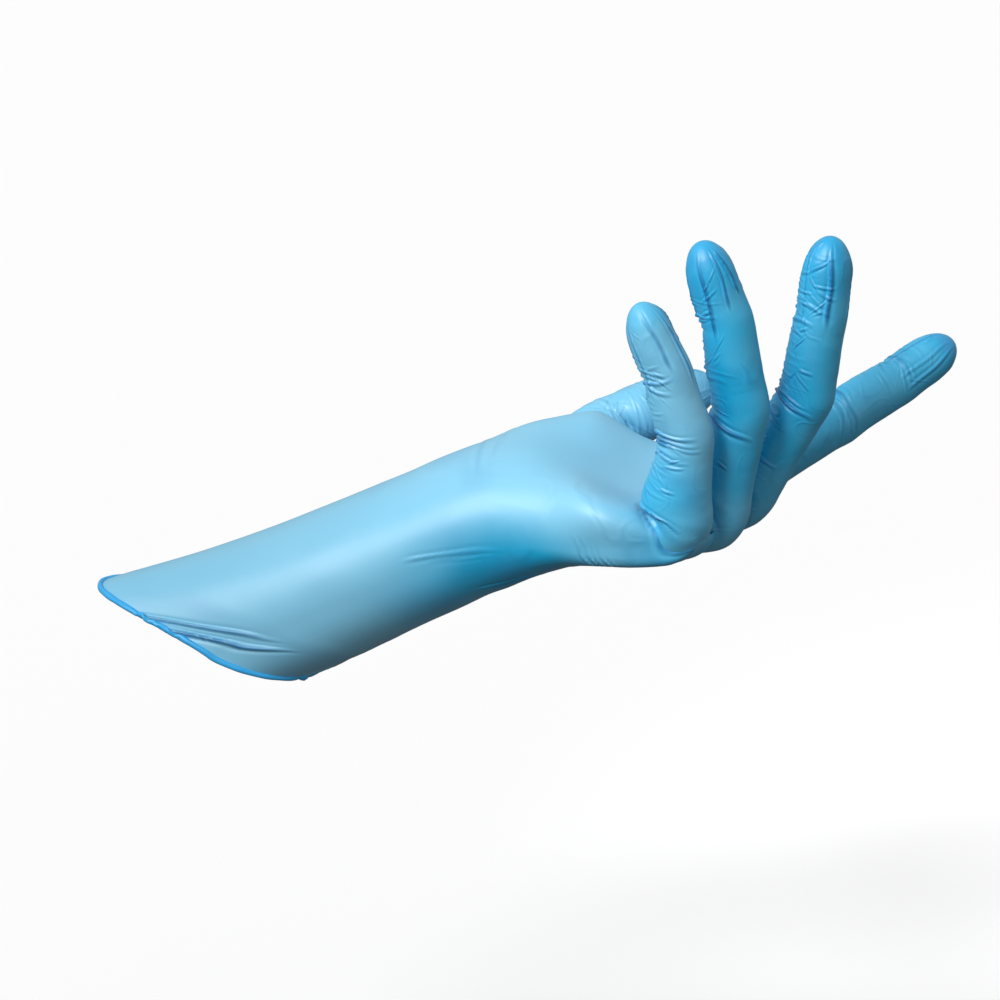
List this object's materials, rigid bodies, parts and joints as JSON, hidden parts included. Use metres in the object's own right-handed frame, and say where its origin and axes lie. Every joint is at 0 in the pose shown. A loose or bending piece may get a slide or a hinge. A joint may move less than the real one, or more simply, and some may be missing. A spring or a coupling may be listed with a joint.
{
  "type": "disposable glove",
  "caption": "Long-cuffed disposable nitrile glove in its worn shape, left hand, with a rolled bead at the cuff and stalls that bend at every finger joint",
  "frame": {"origin": "the middle of the cuff's slanted opening", "axes": "+X from the cuff towards the fingertips along the hand, +Y towards the thumb, +Z towards the palm side"},
  "size_m": [0.2999, 0.1231, 0.1673],
  "materials": {
    "film": "matt dipped nitrile film",
    "bead": "rolled nitrile bead"
  },
  "bodies": {
    "sleeve_body": {"sleeve": "film", "cuff_bead": "bead", "wrist_section": "film"},
    "palm_body": {"palm": "film", "index_knuckle": "film", "middle_knuckle": "film", "ring_knuckle": "film", "little_knuckle": "film", "thumb_root": "film"},
    "index_near_body": {"index_near_stall": "film", "index_mid_joint": "film"},
    "index_mid_body": {"index_mid_stall": "film", "index_end_joint": "film"},
    "index_tip_body": {"index_tip": "film"},
    "middle_near_body": {"middle_near_stall": "film", "middle_mid_joint": "film"},
    "middle_mid_body": {"middle_mid_stall": "film", "middle_end_joint": "film"},
    "middle_tip_body": {"middle_tip": "film"},
    "ring_near_body": {"ring_near_stall": "film", "ring_mid_joint": "film"},
    "ring_mid_body": {"ring_mid_stall": "film", "ring_end_joint": "film"},
    "ring_tip_body": {"ring_tip": "film"},
    "little_near_body": {"little_near_stall": "film", "little_mid_joint": "film"},
    "little_mid_body": {"little_mid_stall": "film", "little_end_joint": "film"},
    "little_tip_body": {"little_tip": "film"},
    "thumb_near_body": {"thumb_near_stall": "film", "thumb_end_joint": "film"},
    "thumb_tip_body": {"thumb_tip": "film"}
  },
  "joints": [
    {"name": "wrist_flex", "type": "hinge", "parent": "sleeve_body", "child": "palm_body", "pos_m": [0.10246, 0, 0.04997], "axis": [0, -1, 0], "range_deg": [-40, 75], "stiffness_Nm_per_rad": 0.25, "deforming": ["wrist_section"]},
    {"name": "index_knuckle_flex", "type": "hinge", "parent": "palm_body", "child": "index_near_body", "pos_m": [0.18446, 0.032, 0.05597], "axis": [0.5299, -0.848, 0], "range_deg": [-28, 36], "stiffness_Nm_per_rad": 0.03, "deforming": ["index_knuckle"]},
    {"name": "index_middle_flex", "type": "hinge", "parent": "index_near_body", "child": "index_mid_body", "pos_m": [0.217, 0.05233, 0.07306], "axis": [0.5299, -0.848, 0], "range_deg": [-4, 70], "stiffness_Nm_per_rad": 0.012, "deforming": ["index_mid_joint"]},
    {"name": "index_end_flex", "type": "hinge", "parent": "index_mid_body", "child": "index_tip_body", "pos_m": [0.23714, 0.06492, 0.08363], "axis": [0.5299, -0.848, 0], "range_deg": [-5, 37], "stiffness_Nm_per_rad": 0.006, "deforming": ["index_end_joint"]},
    {"name": "middle_knuckle_flex", "type": "hinge", "parent": "palm_body", "child": "middle_near_body", "pos_m": [0.18546, 0.011, 0.05297], "axis": [0, -1, 0], "range_deg": [-66, 28], "stiffness_Nm_per_rad": 0.03, "deforming": ["middle_knuckle"]},
    {"name": "middle_middle_flex", "type": "hinge", "parent": "middle_near_body", "child": "middle_mid_body", "pos_m": [0.20753, 0.011, 0.09447], "axis": [0, -1, 0], "range_deg": [-23, 64], "stiffness_Nm_per_rad": 0.012, "deforming": ["middle_mid_joint"]},
    {"name": "middle_end_flex", "type": "hinge", "parent": "middle_mid_body", "child": "middle_tip_body", "pos_m": [0.21184, 0.011, 0.12517], "axis": [0, -1, 0], "range_deg": [-8, 39], "stiffness_Nm_per_rad": 0.006, "deforming": ["middle_end_joint"]},
    {"name": "ring_knuckle_flex", "type": "hinge", "parent": "palm_body", "child": "ring_near_body", "pos_m": [0.17846, -0.011, 0.05397], "axis": [0, -1, 0], "range_deg": [-83, 11], "stiffness_Nm_per_rad": 0.03, "deforming": ["ring_knuckle"]},
    {"name": "ring_middle_flex", "type": "hinge", "parent": "ring_near_body", "child": "ring_mid_body", "pos_m": [0.18667, -0.011, 0.09618], "axis": [0, -1, 0], "range_deg": [-24, 63], "stiffness_Nm_per_rad": 0.012, "deforming": ["ring_mid_joint"]},
    {"name": "ring_end_flex", "type": "hinge", "parent": "ring_mid_body", "child": "ring_tip_body", "pos_m": [0.18128, -0.011, 0.12671], "axis": [0, -1, 0], "range_deg": [-12, 35], "stiffness_Nm_per_rad": 0.006, "deforming": ["ring_end_joint"]},
    {"name": "little_knuckle_flex", "type": "hinge", "parent": "palm_body", "child": "little_near_body", "pos_m": [0.16846, -0.032, 0.05697], "axis": [0, -1, 0], "range_deg": [-92, 7], "stiffness_Nm_per_rad": 0.03, "deforming": ["little_knuckle"]},
    {"name": "little_middle_flex", "type": "hinge", "parent": "little_near_body", "child": "little_mid_body", "pos_m": [0.16972, -0.032, 0.09295], "axis": [0, -1, 0], "range_deg": [-22, 55], "stiffness_Nm_per_rad": 0.012, "deforming": ["little_mid_joint"]},
    {"name": "little_end_flex", "type": "hinge", "parent": "little_mid_body", "child": "little_tip_body", "pos_m": [0.16299, -0.032, 0.11495], "axis": [0, -1, 0], "range_deg": [-14, 33], "stiffness_Nm_per_rad": 0.006, "deforming": ["little_end_joint"]},
    {"name": "thumb_base_flex", "type": "hinge", "parent": "palm_body", "child": "thumb_near_body", "pos_m": [0.13246, 0.045, 0.06497], "axis": [0.5684, -0.4936, -0.6582], "range_deg": [-25, 25], "stiffness_Nm_per_rad": 0.02, "deforming": ["thumb_root"]},
    {"name": "thumb_end_flex", "type": "hinge", "parent": "thumb_near_body", "child": "thumb_tip_body", "pos_m": [0.15446, 0.057, 0.07497], "axis": [0.3976, -0.5505, -0.734], "range_deg": [-15, 55], "stiffness_Nm_per_rad": 0.008, "deforming": ["thumb_end_joint"]}
  ]
}
